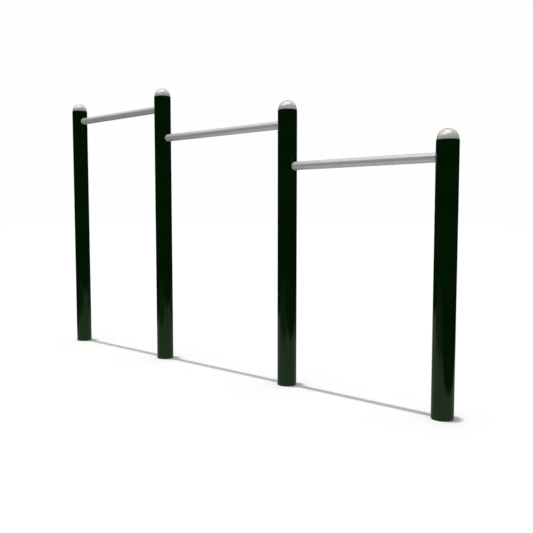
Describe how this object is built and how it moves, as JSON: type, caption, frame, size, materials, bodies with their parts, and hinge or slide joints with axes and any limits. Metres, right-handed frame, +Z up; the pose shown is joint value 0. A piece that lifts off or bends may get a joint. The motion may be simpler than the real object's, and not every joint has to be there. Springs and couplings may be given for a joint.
{
  "type": "pull-up bars",
  "caption": "Outdoor pull-up bars in a stepped row: dark green round posts with domed grey metal caps, joined near the top by thick horizontal grey bars.",
  "frame": {"origin": "centre of the row of posts, on the ground", "axes": "+X along the row towards the lowest bay, +Y to the rear, where the bolt heads are, +Z up"},
  "size_m": [4.0598, 0.1506, 2.3206],
  "materials": {
    "post_paint": "gloss",
    "cap_aluminium": "satin",
    "bar_steel": "satin",
    "zinc_steel": "matte",
    "stainless": "satin",
    "rubber": "matte"
  },
  "bodies": {
    "root": {"post_1": "post_paint", "post_2": "post_paint", "post_3": "post_paint", "post_4": "post_paint", "post_cap_1": "cap_aluminium", "post_cap_2": "cap_aluminium", "post_cap_3": "cap_aluminium", "post_cap_4": "cap_aluminium", "cap_gasket_1": "rubber", "cap_gasket_2": "rubber", "cap_gasket_3": "rubber", "cap_gasket_4": "rubber", "cap_screw_1": "stainless", "cap_screw_2": "stainless", "cap_screw_3": "stainless", "cap_screw_4": "stainless", "ground_socket_1": "zinc_steel", "ground_socket_2": "zinc_steel", "ground_socket_3": "zinc_steel", "ground_socket_4": "zinc_steel", "lock_screw_1": "stainless", "lock_screw_2": "stainless", "lock_screw_3": "stainless", "lock_screw_4": "stainless", "bar_high": "bar_steel", "bar_mid": "bar_steel", "bar_low": "bar_steel", "bar_high_plug_left": "zinc_steel", "bar_high_seal_left": "rubber", "bar_high_spacer_left": "zinc_steel", "bar_high_washer_left": "stainless", "bar_high_bolt_left": "stainless", "bar_high_plug_right": "zinc_steel", "bar_high_seal_right": "rubber", "bar_high_spacer_right": "zinc_steel", "bar_high_washer_right": "stainless", "bar_high_bolt_right": "stainless", "bar_mid_plug_left": "zinc_steel", "bar_mid_seal_left": "rubber", "bar_mid_spacer_left": "zinc_steel", "bar_mid_washer_left": "stainless", "bar_mid_bolt_left": "stainless", "bar_mid_plug_right": "zinc_steel", "bar_mid_seal_right": "rubber", "bar_mid_spacer_right": "zinc_steel", "bar_mid_washer_right": "stainless", "bar_mid_bolt_right": "stainless", "bar_low_plug_left": "zinc_steel", "bar_low_seal_left": "rubber", "bar_low_spacer_left": "zinc_steel", "bar_low_washer_left": "stainless", "bar_low_bolt_left": "stainless", "bar_low_plug_right": "zinc_steel", "bar_low_seal_right": "rubber", "bar_low_spacer_right": "zinc_steel", "bar_low_washer_right": "stainless", "bar_low_bolt_right": "stainless"}
  },
  "joints": []
}
